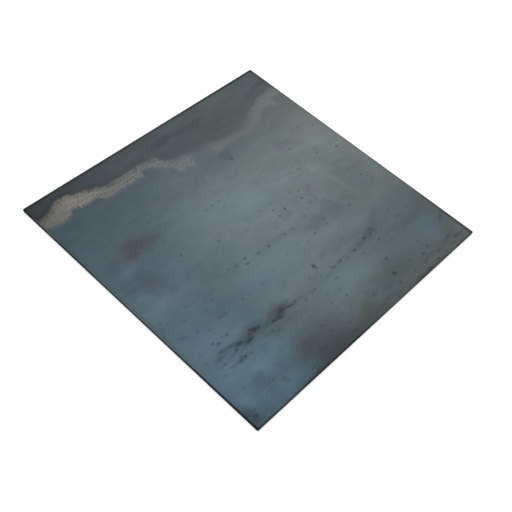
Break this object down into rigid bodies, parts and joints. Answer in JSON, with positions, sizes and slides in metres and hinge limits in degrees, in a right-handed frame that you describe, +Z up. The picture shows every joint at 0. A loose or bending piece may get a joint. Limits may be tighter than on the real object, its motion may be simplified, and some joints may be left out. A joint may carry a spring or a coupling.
{
  "type": "steel plate",
  "caption": "Flat square of hot-rolled steel plate with sheared sides and weathered blue-grey mill scale, raw stock for cutting, drilling and welding.",
  "frame": {"origin": "centre of the plate's underside", "axes": "+X along the rolling direction, +Y across it, +Z up, out of the weathered face"},
  "size_m": [0.6, 0.6, 0.006],
  "materials": {
    "mill_scale": "hot-rolled mill scale, blue-grey and satin, with dark rolled-in specks, water stains and a tan tide line"
  },
  "bodies": {
    "root": {"steel_plate": "mill_scale"}
  },
  "joints": []
}
